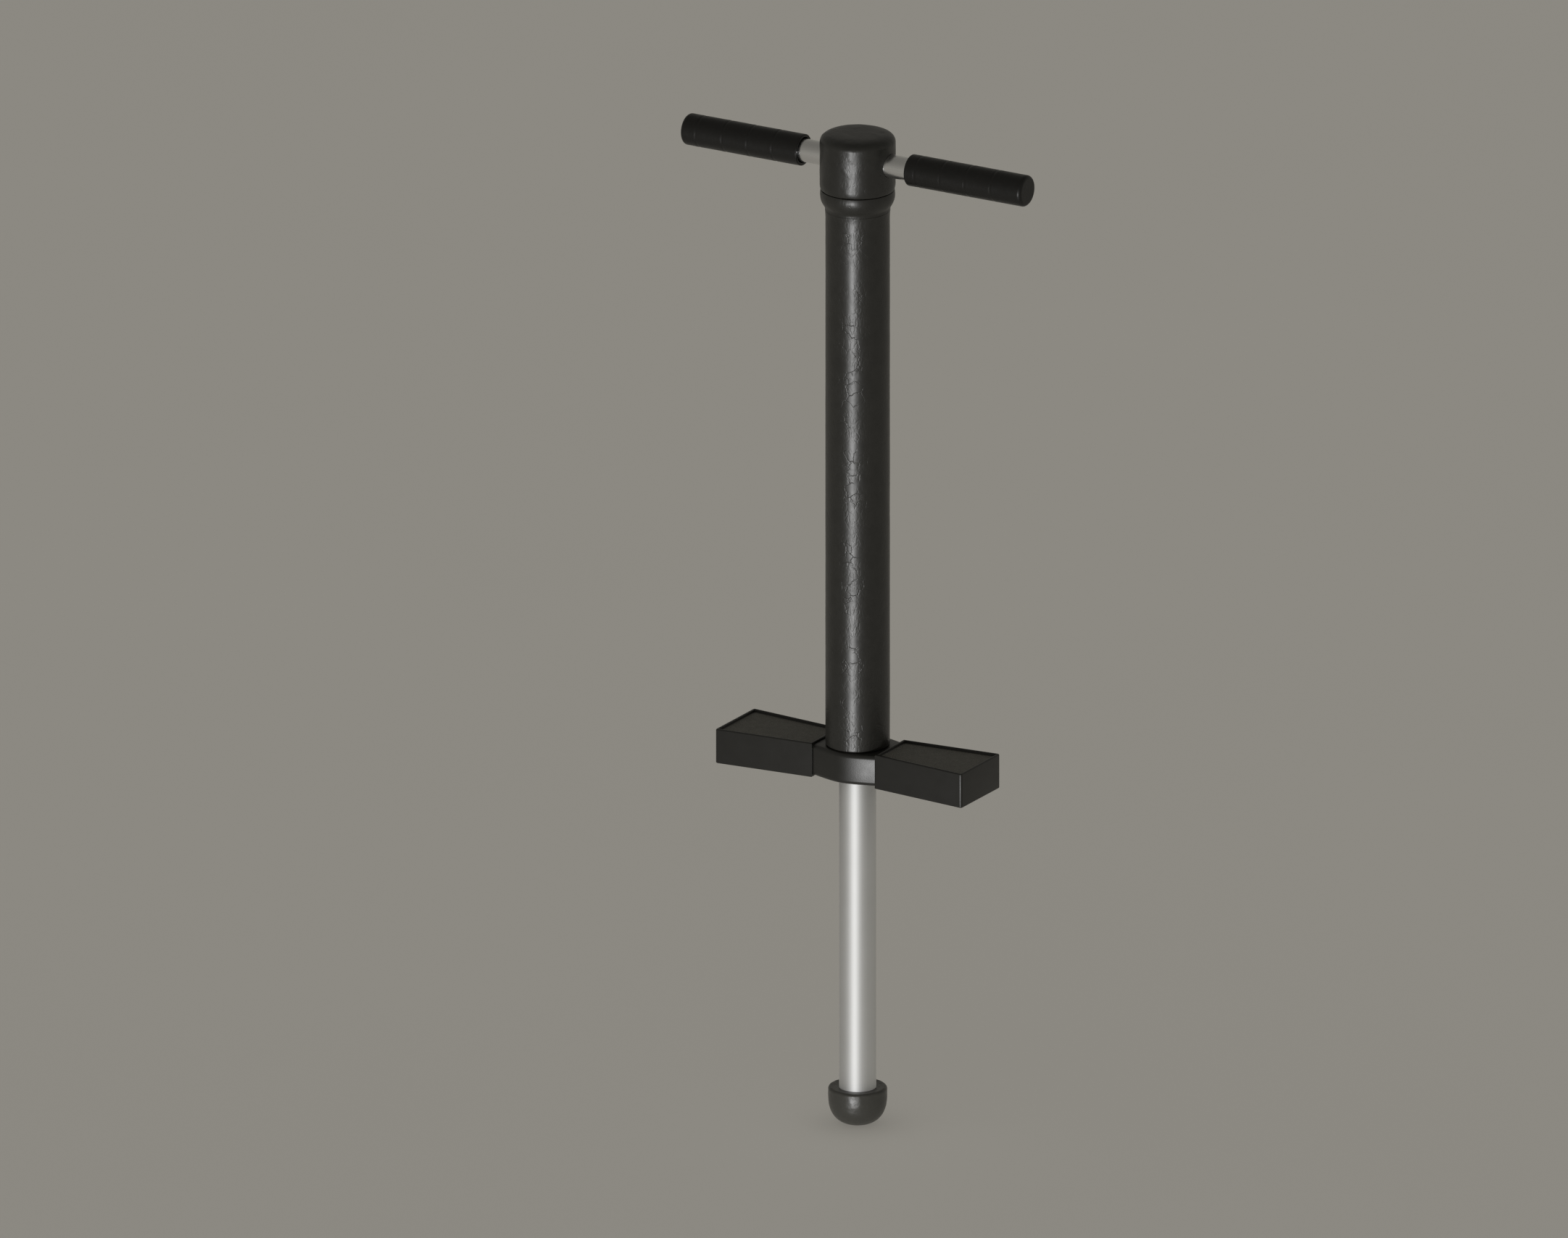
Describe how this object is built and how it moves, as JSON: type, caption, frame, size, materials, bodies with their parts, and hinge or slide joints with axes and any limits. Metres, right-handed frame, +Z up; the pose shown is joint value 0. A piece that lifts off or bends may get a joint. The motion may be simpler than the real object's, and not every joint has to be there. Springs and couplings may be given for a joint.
{
  "type": "pogo stick",
  "caption": "Spring pogo stick: padded frame tube with a T handlebar and grips, twin footrests, and a sprung plunger rod ending in a rubber foot.",
  "frame": {"origin": "lowest point of the rubber foot, on the stick's axis, with the plunger fully out", "axes": "+Z up along the stick, X along the handlebar and the footrests, -Y towards the front"},
  "size_m": [0.37, 0.072, 0.9791],
  "materials": {
    "tube_steel": "plain mill-finish steel",
    "foam": "closed-cell foam",
    "cover_vinyl": "finely creased soft vinyl skin, satin gloss",
    "head_plastic": "soft-touch moulded plastic, satin",
    "nylon": "natural nylon",
    "zinc_steel": "zinc-plated steel",
    "bar_steel": "satin steel",
    "grip_rubber": "matt moulded rubber",
    "spring_steel": "oiled spring steel",
    "hub_plastic": "satin moulded plastic",
    "pedal_plastic": "satin moulded plastic",
    "tread_rubber": "fine gritted non-slip rubber",
    "rod_steel": "lengthwise-brushed bright steel",
    "foot_rubber": "dark grey moulded rubber"
  },
  "bodies": {
    "frame": {"main_tube": "tube_steel", "foam_sleeve": "foam", "tube_cover": "cover_vinyl", "neck_collar": "head_plastic", "head_cap": "head_plastic", "head_pad": "foam", "head_plug": "nylon", "bar_screw": "zinc_steel", "handlebar": "bar_steel", "bar_end_plugs": "nylon", "grip_left": "grip_rubber", "grip_right": "grip_rubber", "seat_pin": "zinc_steel", "spring_seat_top": "tube_steel", "main_spring": "spring_steel", "lower_bush": "nylon", "topout_bumper": "foot_rubber", "footrest_hub": "hub_plastic", "hub_set_screw": "zinc_steel", "footrest_arms": "tube_steel", "pedal_left": "pedal_plastic", "pedal_right": "pedal_plastic", "tread_left": "tread_rubber", "tread_right": "tread_rubber", "pedal_bolts": "zinc_steel", "pedal_washers": "zinc_steel", "pedal_nuts": "zinc_steel"},
    "spring_foot": {"spring_seat_bottom": "tube_steel", "thrust_washer": "nylon"},
    "plunger": {"piston_rod": "rod_steel", "rod_head": "nylon", "rod_pin": "zinc_steel", "rod_end_plug": "tube_steel", "foot_washer": "zinc_steel", "foot_tip": "foot_rubber"}
  },
  "joints": [
    {"name": "plunger_slide", "type": "slide", "parent": "frame", "child": "spring_foot", "axis": [0, 0, 1], "range_m": [0, 0.16], "stiffness_N_per_m": 7300, "springref_m": -0.02, "deforming": ["main_spring"]},
    {"name": "plunger_spin", "type": "hinge", "parent": "spring_foot", "child": "plunger", "pos_m": [0, 0, 0.4875], "axis": [0, 0, 1], "continuous": true}
  ]
}
